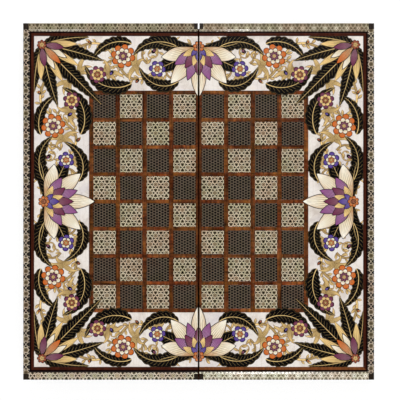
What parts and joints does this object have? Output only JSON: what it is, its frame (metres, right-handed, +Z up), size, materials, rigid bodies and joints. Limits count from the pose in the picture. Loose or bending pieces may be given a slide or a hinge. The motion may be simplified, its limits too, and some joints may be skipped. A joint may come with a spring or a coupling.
{
  "type": "folding chess board",
  "caption": "Folding marquetry chess board: two shallow box halves hinged along a middle seam, with inlaid squares, a painted field and a raised border.",
  "frame": {"origin": "on the table under the middle of the seam, the board open", "axes": "+X to the right half, +Y along the seam to the far side, +Z up out of the chess side"},
  "size_m": [0.492, 0.5, 0.04],
  "materials": {
    "case_wood": "lacquered dark wood",
    "panel_wood": "plain plywood",
    "liner_wood": "satin veneer",
    "lattice_wood": "lacquered red-brown wood",
    "fillet_wood": "lacquered dark red-brown wood",
    "corner_wood": "polished black wood",
    "light_marquetry": "lacquered marquetry of cream and olive-brown rods",
    "dark_marquetry": "lacquered marquetry of grey-brown and black rods",
    "border_marquetry": "lacquered marquetry of cream and olive rods",
    "band_marquetry": "lacquered marquetry of cream and olive rods",
    "painted_field": "ivory ground with painted ornament under lacquer",
    "brass": "polished brass",
    "steel": "drawn steel",
    "nickel": "nickel plate"
  },
  "bodies": {
    "left_half": {"left_outer_wall": "case_wood", "left_seam_wall": "case_wood", "left_panel": "panel_wood", "left_liner": "liner_wood", "left_outer_band": "band_marquetry", "left_magnet": "nickel", "left_dark_squares": "dark_marquetry", "left_light_squares": "light_marquetry", "left_lattice": "lattice_wood", "left_painted_field": "painted_field", "left_fillet": "fillet_wood", "left_outer_border": "border_marquetry", "left_far_wall": "case_wood", "left_far_band": "band_marquetry", "left_far_border": "border_marquetry", "left_far_corner": "corner_wood", "left_far_seam_corner": "corner_wood", "far_hinge_left_leaf": "brass", "far_hinge_left_screw_1": "brass", "far_hinge_left_screw_2": "brass", "left_near_wall": "case_wood", "left_near_band": "band_marquetry", "left_near_border": "border_marquetry", "left_near_corner": "corner_wood", "left_near_seam_corner": "corner_wood", "near_hinge_left_leaf": "brass", "near_hinge_left_screw_1": "brass", "near_hinge_left_screw_2": "brass", "far_hinge_pin": "steel", "near_hinge_pin": "steel"},
    "right_half": {"right_outer_wall": "case_wood", "right_seam_wall": "case_wood", "right_panel": "panel_wood", "right_liner": "liner_wood", "right_outer_band": "band_marquetry", "right_magnet": "nickel", "right_dark_squares": "dark_marquetry", "right_light_squares": "light_marquetry", "right_lattice": "lattice_wood", "right_painted_field": "painted_field", "right_fillet": "fillet_wood", "right_outer_border": "border_marquetry", "right_far_wall": "case_wood", "right_far_band": "band_marquetry", "right_far_border": "border_marquetry", "right_far_corner": "corner_wood", "right_far_seam_corner": "corner_wood", "far_hinge_right_leaf": "brass", "far_hinge_right_screw_1": "brass", "far_hinge_right_screw_2": "brass", "right_near_wall": "case_wood", "right_near_band": "band_marquetry", "right_near_border": "border_marquetry", "right_near_corner": "corner_wood", "right_near_seam_corner": "corner_wood", "near_hinge_right_leaf": "brass", "near_hinge_right_screw_1": "brass", "near_hinge_right_screw_2": "brass"}
  },
  "joints": [
    {"name": "fold", "type": "hinge", "parent": "left_half", "child": "right_half", "pos_m": [0, 0, 0.0024], "axis": [0, 1, 0], "range_deg": [0, 180]}
  ]
}
